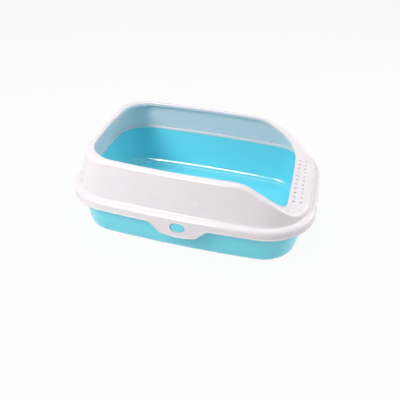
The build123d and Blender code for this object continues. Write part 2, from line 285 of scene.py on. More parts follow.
BOX_FORM = PlanForm(
    back_x=-250.0,
    front_x=250.0,
    half_width=180.0,
    side_bow=13.0,
    back_bow=10.5,
    front_bow=10.5,
    back_radius=87.0,
    front_radius=112.0,
)
PAN_FORM = PlanForm(
    back_x=-250.0,
    front_x=250.0,
    half_width=180.0,
    side_bow=13.0,
    back_bow=10.5,
    front_bow=10.5,
    back_radius=87.0,
    front_radius=102.0,
)
MOUTH_FORM = PlanForm(
    back_x=-208.5,
    front_x=192.0,
    half_width=138.0,
    side_bow=12.0,
    back_bow=9.3,
    front_bow=4.0,
    back_radius=62.0,
    front_radius=42.0,
)
SWOOP = Swoop()

# Steps of the stations: half an end, a corner, and a stretch of a long side.
END_STEPS = 24
CORNER_STEPS = 44
PAN_SIDE_STEPS = 80
SURROUND_SIDE_STEPS = 34
OUTLINE_STEPS = (30, 60, 120)
PARALLEL = 1e-12

# Sizes that the pan, the surround and the tabs share.
WALL = 3.0
SKIRT_EDGE = 82.5
BEAD_HEIGHT = 2.4
BEAD_PROUD = 0.8
BEAD_ROUND = 0.6
TAB_X = -4.0
TAB_HALF = 65.0
TAB_ROOT = 92.0
WINDOW_HEIGHT = 79.0


def reach(stations: Stations, form: PlanForm, inset: float) -> np.ndarray:
    """Follows the stations' normals to the outline of another form.

    Args:
        stations: The stations.
        form: The other form.
        inset: How far that form's outline is drawn in.

    Returns:
        The inset at which each station meets the outline.
    """
    outline = form.stations(*OUTLINE_STEPS).at(inset)
    edges = np.roll(outline, -1, axis=0) - outline
    found = np.empty(stations.count)
    for index, (point, normal) in enumerate(zip(stations.points, stations.inward)):
        to_corner = outline - point
        area = normal[0] * edges[:, 1] - normal[1] * edges[:, 0]
        area = np.where(np.abs(area) < PARALLEL, PARALLEL, area)
        along = (to_corner[:, 0] * edges[:, 1] - to_corner[:, 1] * edges[:, 0]) / area
        share = (to_corner[:, 0] * normal[1] - to_corner[:, 1] * normal[0]) / area
        hits = along[(share >= 0) & (share <= 1) & (along > 0)]
        found[index] = hits.min()
    return found


def quarter(
    centre: tuple[float, float], radius: float, start: float, finish: float, steps: int
) -> Section:
    """Points of an arc in a section, both ends included.

    Args:
        centre: Inset and height of the centre.
        radius: Radius.
        start: First angle in degrees, 0 pointing inwards and 90 up.
        finish: Last angle in degrees.
        steps: Number of steps.

    Returns:
        The section.
    """
    angles = np.radians(np.linspace(start, finish, steps + 1))
    return [(centre[0] + radius * cos(a), centre[1] + radius * sin(a)) for a in angles]


@dataclass
class MeshParts:
    """Points and faces gathered for one mesh."""

    points: list[np.ndarray] = field(default_factory=list)
    faces: list[tuple[int, ...]] = field(default_factory=list)
    total: int = 0

    def add(self, points: np.ndarray) -> int:
        """Adds points.

        Args:
            points: Rows of x, y and z.

        Returns:
            The index of the first.
        """
        first = self.total
        self.points.append(np.asarray(points, float))
        self.total += len(points)
        return first

    def join(self, low: int, high: int, places: Iterable[int], count: int = 0) -> None:
        """Adds faces between two rows of points.

        Args:
            low: The first point of the first row.
            high: The first point of the second row.
            places: The places along the rows where a face starts.
            count: Number of points in a row that is closed on itself, or 0 for an open one.
        """
        for place in places:
            after = (place + 1) % count if count else place + 1
            self.faces.append((low + place, low + after, high + after, high + place))

    def tube(
        self,
        rings: Sequence[np.ndarray],
        closed: bool,
        skip: Optional[Callable[[int, int], bool]] = None,
    ) -> list[int]:
        """Adds rings of points and the faces between them, each ring closed on itself.

        Args:
            rings: Rings with the same number of points.
            closed: Whether the last ring joins the first.
            skip: Says which face to leave out, from its ring and its place in the ring.

        Returns:
            The index of each ring's first point.
        """
        starts = [self.add(ring) for ring in rings]
        count = len(rings[0])
        pairs = list(zip(starts, starts[1:] + starts[:1]))
        for number, (low, high) in enumerate(pairs if closed else pairs[:-1]):
            kept = [place for place in range(count) if skip is None or not skip(number, place)]
            self.join(low, high, kept, count)
        return starts

    def bar(self, sections: Sequence[np.ndarray]) -> None:
        """Adds a solid bar, capped at both ends.

        Args:
            sections: Its cross-sections, with the same number of points.
        """
        starts = self.tube(sections, False)
        count = len(sections[0])
        self.faces.append(tuple(starts[0] + place for place in reversed(range(count))))
        self.faces.append(tuple(starts[-1] + place for place in range(count)))

    def build(self, name: str, crease: float = 38.0) -> bpy.types.Object:
        """Makes the mesh object, smooth except along edges sharper than the crease angle.

        Args:
            name: Name of the piece.
            crease: Angle in degrees.

        Returns:
            The object, linked to the scene.
        """
        mesh = bpy.data.meshes.new(name)
        mesh.from_pydata((np.vstack(self.points) * MM).tolist(), [], self.faces)
        work = bmesh.new()
        work.from_mesh(mesh)
        bmesh.ops.remove_doubles(work, verts=work.verts, dist=MERGE_DISTANCE)
        bmesh.ops.recalc_face_normals(work, faces=work.faces)
        work.to_mesh(mesh)
        work.free()
        mesh.shade_smooth()
        mesh.set_sharp_from_angle(angle=radians(crease))
        piece = bpy.data.objects.new(name, mesh)
        bpy.context.scene.collection.objects.link(piece)
        return piece


Value = Union["Socket", float, int, Sequence[float]]


class Socket:
    """An output socket of a shader node; arithmetic on it adds Math nodes."""

    def __init__(self, graph: "Graph", output: bpy.types.NodeSocket) -> None:
        """Wraps the output socket of a node in the graph."""
        self.graph = graph
        self.output = output

    def math(self, operation: str, first: Value, second: Value) -> "Socket":
        """The result of a Math node."""
        return self.graph.node("ShaderNodeMath", {"operation": operation}, {0: first, 1: second})

    def __add__(self, other: Value) -> "Socket":
        """Sum."""
        return self.math("ADD", self, other)

    def __radd__(self, other: Value) -> "Socket":
        """Reflected sum."""
        return self.math("ADD", other, self)

    def __sub__(self, other: Value) -> "Socket":
        """Difference."""
        return self.math("SUBTRACT", self, other)

    def __rsub__(self, other: Value) -> "Socket":
        """Reflected difference."""
        return self.math("SUBTRACT", other, self)

    def __mul__(self, other: Value) -> "Socket":
        """Product."""
        return self.math("MULTIPLY", self, other)

    def __rmul__(self, other: Value) -> "Socket":
        """Reflected product."""
        return self.math("MULTIPLY", other, self)


class Graph:
    """The node tree of a material or of the world."""

    def __init__(self, owner: Owner) -> None:
        """Starts an empty tree.

        Args:
            owner: The material or the world.
        """
        self.owner = owner
        owner.use_nodes = True
        self.tree = owner.node_tree
        self.tree.nodes.clear()

    def node(
        self,
        kind: str,
        settings: dict[str, object],
        inputs: dict[Union[str, int], Value],
        output: Union[str, int] = 0,
    ) -> Socket:
        """Adds a node.

        Args:
            kind: The node's type.
            settings: Its own settings, such as a Math node's operation, set before its sockets.
            inputs: Values or links of its sockets, by name or number.
            output: The output that is wanted.

        Returns:
            That output.
        """
        node = self.tree.nodes.new(kind)
        for key, value in settings.items():
            setattr(node, key, value)
        for key, value in inputs.items():
            if isinstance(value, Socket):
                self.tree.links.new(value.output, node.inputs[key])
            else:
                node.inputs[key].default_value = value
        return Socket(self, node.outputs[output])

    def finish(self, shader: Socket) -> Owner:
        """Links the shader to the tree's output.

        Args:
            shader: What the surface shows.

        Returns:
            The owner of the tree.
        """
        kind = "World" if isinstance(self.owner, bpy.types.World) else "Material"
        output = self.tree.nodes.new(f"ShaderNodeOutput{kind}")
        self.tree.links.new(shader.output, output.inputs["Surface"])
        return self.owner


@dataclass(frozen=True)
class MouldedPlastic:
    """Glossy moulded polypropylene: a clear colour, faint flow clouds and an orange-peel skin.

    Attributes:
        name: Name of the material.
        colour: The plastic's colour.
        cloud_colour: Its colour in the flow clouds.
        roughness: Its middling roughness.
        gloss: Specular level of the plastic itself.
        coat: Weight of the clear skin.
        coat_roughness: Roughness of the clear skin.
        refraction: Index of refraction.
        cloud_size: Size of the flow clouds.
        cloud_band: Noise levels between which one colour turns into the other.
        speckle_share: Share of the speckle in the flow clouds.
        speckle_size: Size of the finest speckle.
        speckle_dulling: How far the speckle changes the roughness.
        speckle_height: Height of the speckle, as a share of the waves'.
        peel_size: Size of the orange peel.
        peel_height: Height of the orange peel, as a share of the waves'.
        wave_size: Size of the slow waves in the walls.
        rub_size: Size of the patches that handling has dulled.
        rub_dulling: How far those patches change the roughness.
        relief: Height of the waves, in metres.
        relief_strength: Strength of the whole relief.
    """

    name: str
    colour: Colour
    cloud_colour: Colour
    roughness: float
    gloss: float
    coat: float
    coat_roughness: float = 0.05
    refraction: float = 1.49
    cloud_size: float = 70.0
    cloud_band: tuple[float, float] = (0.3, 0.7)
    speckle_share: float = 0.15
    speckle_size: float = 0.9
    speckle_dulling: float = 0.05
    speckle_height: float = 0.003
    peel_size: float = 2.2
    peel_height: float = 0.012
    wave_size: float = 45.0
    rub_size: float = 14.0
    rub_dulling: float = 0.12
    relief: float = 0.0004
    relief_strength: float = 0.5

    def material(self) -> bpy.types.Material:
        """Builds the material.

        Returns:
            The material.
        """
        graph = Graph(bpy.data.materials.new(self.name))
        place = graph.node("ShaderNodeTexCoord", {}, {}, "Object")

        def noise(size: float, detail: float, rough: float) -> Socket:
            """Noise whose features are about this many millimetres across."""
            return graph.node(
                "ShaderNodeTexNoise",
                {"noise_dimensions": "3D"},
                {"Vector": place, "Scale": 1 / (size * MM), "Detail": detail, "Roughness": rough},
                "Fac",
            )

        clouds = noise(self.cloud_size, 3.0, 0.5)
        speckle = noise(self.speckle_size, 2.0, 0.6)
        peel = noise(self.peel_size, 1.0, 0.4)
        waves = noise(self.wave_size, 1.0, 0.3)
        rubbed = noise(self.rub_size, 4.0, 0.65)
        flow = clouds * (1 - self.speckle_share) + speckle * self.speckle_share
        low, high = self.cloud_band
        band = {"Value": flow, "From Min": low, "From Max": high, "To Min": 0.0, "To Max": 1.0}
        shade = graph.node("ShaderNodeMapRange", {"clamp": True}, band)
        colour = graph.node(
            "ShaderNodeMix",
            {"data_type": "RGBA", "blend_type": "MIX"},
            {0: shade, 6: (*self.colour, 1.0), 7: (*self.cloud_colour, 1.0)},
            2,
        )
        dulled = (rubbed - 0.5) * self.rub_dulling
        speckled = (speckle - 0.5) * self.speckle_dulling
        height = waves + peel * self.peel_height + speckle * self.speckle_height
        bump = graph.node(
            "ShaderNodeBump",
            {},
            {"Strength": self.relief_strength, "Distance": self.relief, "Height": height},
        )
        shader = graph.node(
            "ShaderNodeBsdfPrincipled",
            {},
            {
                "Base Color": colour,
                "Roughness": self.roughness + dulled + speckled,
                "IOR": self.refraction,
                "Specular IOR Level": self.gloss,
                "Coat Weight": self.coat,
                "Coat Roughness": self.coat_roughness,
                "Normal": bump,
            },
        )
        return graph.finish(shader)


PAN_PLASTIC = MouldedPlastic(
    "blue_polypropylene",
    colour=(0.2, 0.79, 0.93),
    cloud_colour=(0.19, 0.775, 0.915),
    roughness=0.11,
    gloss=0.3,
    coat=0.25,
)
SURROUND_PLASTIC = MouldedPlastic(
    "white_polypropylene",
    colour=(0.87, 0.812, 0.842),
    cloud_colour=(0.855, 0.795, 0.827),
    roughness=0.26,
    gloss=0.4,
    coat=0.08,
)


@dataclass
class LitterPan:
    """The blue moulding: tapered walls, rolled rim, two studs and four feet."""

    foot_height: float = 2.5
    floor: float = 5.5
    cap_inset: float = 62.0
    base_inset: float = 29.5
    mouth_inset: float = 12.0
    base_radius: float = 18.0
    floor_radius: float = 21.0
    rim_height: float = 98.7
    rim_inset: float = 4.0
    rim_radius: float = 5.0
    rim_wall: float = 2.4
    rim_edge: float = 1.0
    rim_edge_foot: float = 1.6
    turndown: float = 8.5
    turndown_edge: float = 0.3
    stud_root: float = 162.0
    stud_half_width: float = 13.3
    stud_half_height: float = 9.55
    stud_recess: float = 1.6
    stud_edge: float = 1.0
    stud_steps: int = 72
    foot_inset: float = 45.0
    foot_width: float = 12.0
    foot_top: float = 4.0
    foot_edge: float = 0.5
    foot_from_x: float = 140.0
    foot_from_y: float = 60.0

    def __post_init__(self) -> None:
        """Lays out the stations of the walls and of the rolled rim, and the walls' lean."""
        self.wall_stations = PAN_FORM.stations(END_STEPS, CORNER_STEPS, PAN_SIDE_STEPS)
        self.rim_stations = BOX_FORM.stations(END_STEPS, CORNER_STEPS, PAN_SIDE_STEPS)
        rise = self.rim_height - self.foot_height
        self.slope = (self.base_inset - self.mouth_inset) / rise
        self.lean = atan2(self.slope, 1.0)

    def wall_at(self, height: float, offset: float = 0.0) -> float:
        """Inset of the wall at a height, or of a face this far behind it."""
        outside = self.base_inset - (height - self.foot_height) * self.slope
        return outside + offset / cos(self.lean)

    def base_arc(self, offset: float, floor: float, radius: float, steps: int) -> Section:
        """The round edge between the base and the wall, from the base up.

        Args:
            offset: 0 for the outside, or the wall's thickness for the inside.
            floor: Height of the flat face beside it.
            radius: Radius of the edge.
            steps: Number of steps.

        Returns:
            Its section.
        """
        height = floor + radius
        centre = (self.wall_at(height, offset) + radius / cos(self.lean), height)
        return quarter(centre, radius, -90, -180 + self.lean * 180 / pi, steps)

    def outside(self) -> Section:
        """The section from the middle of the base up the outside of the wall, to the rolled rim.

        Returns:
            The section.
        """
        top, turn = self.rim_height - self.rim_wall, self.turndown_edge
        edge = self.base_arc(0.0, self.foot_height, self.base_radius, 12)
        flat = [(self.cap_inset, self.foot_height), (edge[0][0] + 1.0, self.foot_height)]
        heights = np.linspace(edge[-1][1], top, 14)[1:-1]
        wall = [(self.wall_at(height), height) for height in heights]
        inset = self.wall_at(top)
        return [*flat, *edge, *wall, (inset, top - turn), (inset - turn, top)]

    def rolled_rim(self) -> Section:
        """The section of the rolled rim, from its underside round its free edge to its top.

        Returns:
            The section.
        """
        centre = (self.rim_inset + self.rim_radius, self.rim_height - self.rim_radius)
        foot, turn = self.rim_height - self.turndown, self.turndown_edge
        front, back = self.rim_inset, self.rim_inset + self.rim_wall
        under = quarter(centre, self.rim_radius - self.rim_wall, 90, 180, 5)
        edge = [(back, foot + turn), (back - turn, foot)]
        edge += [(front + turn, foot), (front, foot + turn)]
        return [*under, *edge, *quarter(centre, self.rim_radius, 180, 90, 8)]

    def inside(self) -> Section:
        """The section from the rim down the inside of the wall to the middle of the floor.

        Returns:
            The section.
        """
        rim, turn = self.rim_height, self.rim_edge
        edge = quarter((self.wall_at(rim, WALL) - turn, rim - turn), turn, 90, 0, 4)
        fillet = self.base_arc(WALL, self.floor, self.floor_radius, 14)[::-1]
        heights = np.linspace(rim - self.rim_edge_foot, fillet[0][1], 14)[:-1]
        wall = [(self.wall_at(height, WALL), height) for height in heights]
        flat = [(fillet[-1][0] + 1.0, self.floor), (self.cap_inset, self.floor)]
        return [*edge, *wall, *fillet, *flat]

    def add_studs(self, parts: MeshParts) -> None:
        """Adds the two oval studs that fill the tabs' windows.

        Args:
            parts: The pan's mesh.
        """
        turn = np.linspace(0, 2 * pi, self.stud_steps, endpoint=False)
        edge, face = self.stud_edge, BOX_FORM.half_width - self.stud_recess
        angles = np.radians(np.linspace(0, 90, 6)[1:])
        outlines = [(0.0, self.stud_root), (0.0, face - edge)]
        outlines += [(edge * (1 - cos(a)), face - edge * (1 - sin(a))) for a in angles]
        for side in Side:
            rings = []
            for drawn_in, out in outlines:
                x = TAB_X + (self.stud_half_width - drawn_in) * np.cos(turn)
                z = WINDOW_HEIGHT + (self.stud_half_height - drawn_in) * np.sin(turn)
                rings.append(np.column_stack([x, np.full(turn.size, side.value * out), z]))
            parts.bar(rings)

    def add_feet(self, parts: MeshParts) -> None:
        """Adds the four low feet that follow the corners of the base.

        Args:
            parts: The pan's mesh.
        """
        stations, turn = self.rim_stations, self.foot_edge
        outer, inner = self.foot_inset, self.foot_inset + self.foot_width
        loop = [(outer, self.foot_top), (outer, turn)]
        loop += quarter((outer + turn, turn), turn, 180, 270, 3)[1:]
        loop += [*quarter((inner - turn, turn), turn, 270, 360, 3), (inner, self.foot_top)]
        middle = stations.at(self.foot_inset + self.foot_width / 2)
        for along in (-1, 1):
            for across in (-1, 1):
                sections = []
                for place, (x, y) in enumerate(middle):
                    if x * along > self.foot_from_x and y * across > self.foot_from_y:
                        point, normal = stations.points[place], stations.inward[place]
                        section = [[*(point + normal * inset), z] for inset, z in loop]
                        sections.append(np.array(section))
                parts.bar(sections)

    def mesh(self) -> bpy.types.Object:
        """Meshes the whole moulding.

        Returns:
            The pan.
        """
        parts = MeshParts()
        rings = self.wall_stations.rings(self.outside())
        rings += self.rim_stations.rings(self.rolled_rim())
        rings += self.wall_stations.rings(self.inside())
        parts.bar(rings)
        self.add_studs(parts)
        self.add_feet(parts)
        return parts.build("blue_litter_pan")

    def dress(self, piece: bpy.types.Object, plastic: bpy.types.Material) -> None:
        """Gives the pan its plastic, its body and the solid that it stands for.

        Args:
            piece: The pan.
            plastic: Its material.
        """
        piece.data.materials.append(plastic)
        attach(piece, "pan")
        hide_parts("litter_pan")


@dataclass
class SplashSurround:
    """The white moulding: flange and skirt, leaning walls, swoop, rolled lip and sill grille."""

    edge_inset: float = 1.2
    edge_round: float = 0.3
    bead_blend: float = 0.2
    skirt_middle: float = 88.0
    flange_height: float = 102.0
    flange_radius: float = 9.0
    wall_inset: float = 12.5
    draft: float = 14.5
    shoulder: float = 9.0
    shoulder_guess: float = 150.0
    shoulder_turns: int = 60
    slope_reach: float = 0.1
    crease: float = 3.0
    lip_depth: float = 7.5
    lip_wall: float = 2.6
    lip_edge: float = 2.0
    lip_edge_round: float = 0.4
    ledge_inset: float = 17.85
    ledge_crease: float = 0.8
    ledge_round: float = 0.7
    drop_inset: float = 16.05
    drop_height: float = 96.2
    drop_round: float = 0.4
    notch_from_y: float = 150.0
    notch_slack: float = 1e-6
    grille_count: int = 11
    grille_pitch: float = 15.6
    slot_row_x: float = 201.5
    hole_row_x: float = 215.0
    slot_length: float = 7.0
    hole_diameter: float = 4.4
    hole_steps: int = 32
    cutter_from: float = 2.0
    cutter_to: float = 24.0

    def __post_init__(self) -> None:
        """Lays out the stations, with one at each side of the two tab notches."""
        notch = (TAB_X + TAB_HALF, TAB_X - TAB_HALF)
        self.stations = BOX_FORM.stations(END_STEPS, CORNER_STEPS, SURROUND_SIDE_STEPS, notch)
        self.lean = radians(self.draft)
        self.flange_centre = (self.flange_radius, self.flange_height - self.flange_radius)

    def wall_at(self, height: Number, offset: float = 0.0) -> Number:
        """Inset of the leaning wall at a height, or of a face this far behind it."""
        foot = self.wall_inset + offset / cos(self.lean)
        return foot + (height - self.flange_height) * tan(self.lean)

    def top_at(self, inset: Number, offset: float = 0.0) -> np.ndarray:
        """Height of the top surface over the stations at an inset, less the offset."""
        return SWOOP.height(self.stations.at(inset)) - offset

    def shoulder_arc(self, offset: float, radius: float, steps: int) -> Section:
        """The round shoulder between the wall and the top surface, from the wall up.

        The arc touches both, so its height and the top's slope are found in turns.

        Args:
            offset: 0 for the outside, or the wall's thickness for the inside.
            radius: Radius of the shoulder.
            steps: Number of steps.

        Returns:
            Its section, which differs from station to station.
        """
        height = self.top_at(self.wall_at(self.shoulder_guess, offset), offset) - radius
        slope = np.zeros(self.stations.count)
        for _ in range(self.shoulder_turns):
            centre = self.wall_at(height, offset) + radius / cos(self.lean)
            touch = centre - radius * slope / np.sqrt(1 + slope**2)
            ahead = self.top_at(touch + self.slope_reach, offset)
            behind = self.top_at(touch - self.slope_reach, offset)
            slope = 0.5 * slope + 0.5 * (ahead - behind) / (2 * self.slope_reach)
            below = self.top_at(touch, offset) - radius / np.sqrt(1 + slope**2)
            height = 0.5 * height + 0.5 * below
        centre = self.wall_at(height, offset) + radius / cos(self.lean)
        start, finish = pi - self.lean, np.arctan2(1.0, -slope)
        turns = [start + (finish - start) * t for t in np.linspace(0, 1, steps + 1)]
        return [(centre + radius * np.cos(a), height + radius * np.sin(a)) for a in turns]

    def skirt_outside(self) -> list[np.ndarray]:
        """Rings from the skirt's edge over its bead, to short of the tabs' root.

        Returns:
            The rings.
        """
        inset, blend = BEAD_ROUND - BEAD_PROUD, self.bead_blend
        top = SKIRT_EDGE + BEAD_HEIGHT
        section = [(self.edge_inset, SKIRT_EDGE)]
        section += quarter((inset, SKIRT_EDGE + BEAD_ROUND), BEAD_ROUND, -90, -180, 4)
        section += quarter((inset, top - BEAD_ROUND), BEAD_ROUND, 180, 90, 4)
        section += [(-0.2 * blend, top + 0.15 * blend), (0.0, top + blend)]
        return self.stations.rings([*section, (0.0, self.skirt_middle)])

    def outside(self, shoulder: Section) -> list[np.ndarray]:
        """Rings from the tabs' root over the flange, up the wall and round the shoulder.

        Args:
            shoulder: The outer shoulder's section.

        Returns:
            The rings.
        """
        rise = self.flange_height + self.crease
        inset = self.wall_at(rise) - self.crease / cos(self.lean)
        section = [(0.0, TAB_ROOT), *quarter(self.flange_centre, self.flange_radius, 180, 90, 12)]
        section += quarter((inset, rise), self.crease, -90, -self.draft, 6)
        foot = rise - self.crease * sin(self.lean)
        for t in np.linspace(0, 1, 11)[1:-1]:
            height = foot + (shoulder[0][1] - foot) * t
            section.append((self.wall_at(height), height))
        return self.stations.rings([*section, *shoulder])

    def lip(self, outer: Section, inner: Section) -> list[np.ndarray]:
        """Rings from the outer shoulder over the rolled lip to the inner shoulder.

        Args:
            outer: The outer shoulder's section.
            inner: The inner shoulder's section.

        Returns:
            The rings.
        """
        section: Section = []
        start, end = outer[-1][0], reach(self.stations, MOUTH_FORM, -self.lip_edge)
        for t in np.linspace(0, 1, 9)[1:]:
            inset = start + (end - start) * t
            section.append((inset, self.top_at(inset)))
        for angle in np.radians(np.linspace(15, 90, 6)):
            inset = reach(self.stations, MOUTH_FORM, -self.lip_edge * (1 - sin(angle)))
            section.append((inset, self.top_at(inset, self.lip_edge * (1 - cos(angle)))))
        depth, wall, turn = self.lip_depth, self.lip_wall, self.lip_edge_round
        edge = [(0.0, 0.64 * depth), (0.0, depth - turn), (-0.3 * turn, depth - 0.3 * turn)]
        edge += [(-turn, depth), (turn - wall, depth), (-wall, depth - turn), (-wall, WALL)]
        for out, drop in edge:
            inset = reach(self.stations, MOUTH_FORM, out)
            section.append((inset, self.top_at(inset, drop)))
        under = reach(self.stations, MOUTH_FORM, -wall)
        for t in np.linspace(0, 1, 6)[1:-1]:
            inset = under + (inner[-1][0] - under) * t
            section.append((inset, self.top_at(inset, WALL)))
        return self.stations.rings(section)

    def inside(self, shoulder: Section) -> list[np.ndarray]:
        """Rings from the inner shoulder down the wall, over the ledge and under the flange.

        Args:
            shoulder: The inner shoulder's section.

        Returns:
            The rings.
        """
        section = shoulder[::-1]
        top, crease = self.flange_height, self.ledge_crease
        for t in np.linspace(0, 1, 11)[1:]:
            height = shoulder[0][1] + (top + crease - shoulder[0][1]) * t
            section.append((self.wall_at(height, WALL), height))
        foot, turn = self.wall_at(top, WALL), self.ledge_round
        section += [(foot + 0.25 * crease, top + 0.25 * crease), (foot + crease, top)]
        section += quarter((self.ledge_inset - turn, top - turn), turn, 90, 0, 4)
        drop_foot = (self.ledge_inset - self.drop_round, self.drop_height + self.drop_round)
        section += quarter(drop_foot, self.drop_round, 0, -90, 3)
        section += [(self.drop_inset, self.drop_height), (self.drop_inset, top - WALL)]
        section += quarter(self.flange_centre, self.flange_radius - WALL, 90, 180, 8)
        return self.stations.rings(section)

    def skirt_inside(self) -> list[np.ndarray]:
        """Rings from the tabs' root down the inside of the skirt to its edge.

        Returns:
            The rings.
        """
        turn = self.edge_round
        section = [(WALL, TAB_ROOT), (WALL, self.skirt_middle)]
        section += [(WALL, SKIRT_EDGE + turn), (WALL - turn, SKIRT_EDGE)]
        return self.stations.rings(section)

    def notch_columns(self) -> list[tuple[int, int]]:
        """Finds the notches that the tabs fill.

        Returns:
            The first and the last station of each.
        """
        found = []
        half = TAB_HALF + self.notch_slack
        for side in Side:
            inside = [
                place
                for place, (x, y) in enumerate(self.stations.points)
                if y * side.value > self.notch_from_y and abs(x - TAB_X) < half
            ]
            found.append((min(inside), max(inside)))
        return found

    def grille_cutter(self) -> bpy.types.Object:
        """Meshes every slot and hole of the sill in one piece.

        Returns:
            The cutter.
        """
        parts = MeshParts()
        levels = (self.flange_height + self.cutter_from, self.flange_height + self.cutter_to)
        steps, radius = self.hole_steps, self.hole_diameter / 2
        turn = np.linspace(0, 2 * pi, steps, endpoint=False) + pi / steps
        stretch = (self.slot_length - self.hole_diameter) / 2
        for index in range(self.grille_count):
            y = (index - (self.grille_count - 1) / 2) * self.grille_pitch
            for x, half in ((self.slot_row_x, stretch), (self.hole_row_x, 0.0)):
                across = x + np.cos(turn) * radius + np.sign(np.cos(turn)) * half
                outline = np.column_stack([across, y + np.sin(turn) * radius])
                parts.bar([np.column_stack([outline, np.full(steps, z)]) for z in levels])
        return parts.build("grille_cutter", 60.0)

    def shell(self) -> bpy.types.Object:
        """Meshes the moulding as one closed shell, without its grille.

        Returns:
            The surround.
        """
        outer = self.shoulder_arc(0.0, self.shoulder, 12)
        inner = self.shoulder_arc(WALL, self.shoulder - WALL, 8)
        rings = self.skirt_outside()
        outer_root = len(rings)
        rings += [*self.outside(outer), *self.lip(outer, inner), *self.inside(inner)]
        inner_root = len(rings)
        rings += self.skirt_inside()
        notches = self.notch_columns()

        def in_notch(number: int, place: int) -> bool:
            """Whether a face belongs to a tab and is left out here."""
            below = number < outer_root or number >= inner_root
            return below and any(first <= place < last for first, last in notches)

        parts = MeshParts()
        starts = parts.tube(rings, True, in_notch)
        edge_rings = [*range(inner_root, len(rings)), *range(0, outer_root + 1)]
        for first, last in notches:
            parts.join(starts[outer_root], starts[inner_root], range(first, last))
            for place in (first, last):
                parts.faces.append(tuple(starts[number] + place for number in edge_rings))
        return parts.build("white_splash_surround")

    def mesh(self) -> bpy.types.Object:
        """Meshes the whole moulding, with its grille cut.

        Returns:
            The surround.
        """
        piece = self.shell()
        cutter = self.grille_cutter()
        cut = piece.modifiers.new("grille", "BOOLEAN")
        cut.operation, cut.object, cut.solver = "DIFFERENCE", cutter, "EXACT"
        bpy.context.view_layer.update()
        evaluated = piece.evaluated_get(bpy.context.evaluated_depsgraph_get())
        solid = bpy.data.meshes.new_from_object(evaluated)
        piece.modifiers.clear()
        old, piece.data = piece.data, solid
        solid.name = piece.name
        bpy.data.meshes.remove(old)
        bpy.data.objects.remove(cutter)
        return piece

    def dress(self, piece: bpy.types.Object, plastic: bpy.types.Material) -> None:
        """Gives the surround its plastic, its body and the solid that it stands for.

        Args:
            piece: The surround.
            plastic: Its material.
        """
        piece.data.materials.append(plastic)
        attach(piece, "surround")
        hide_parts("splash_surround")


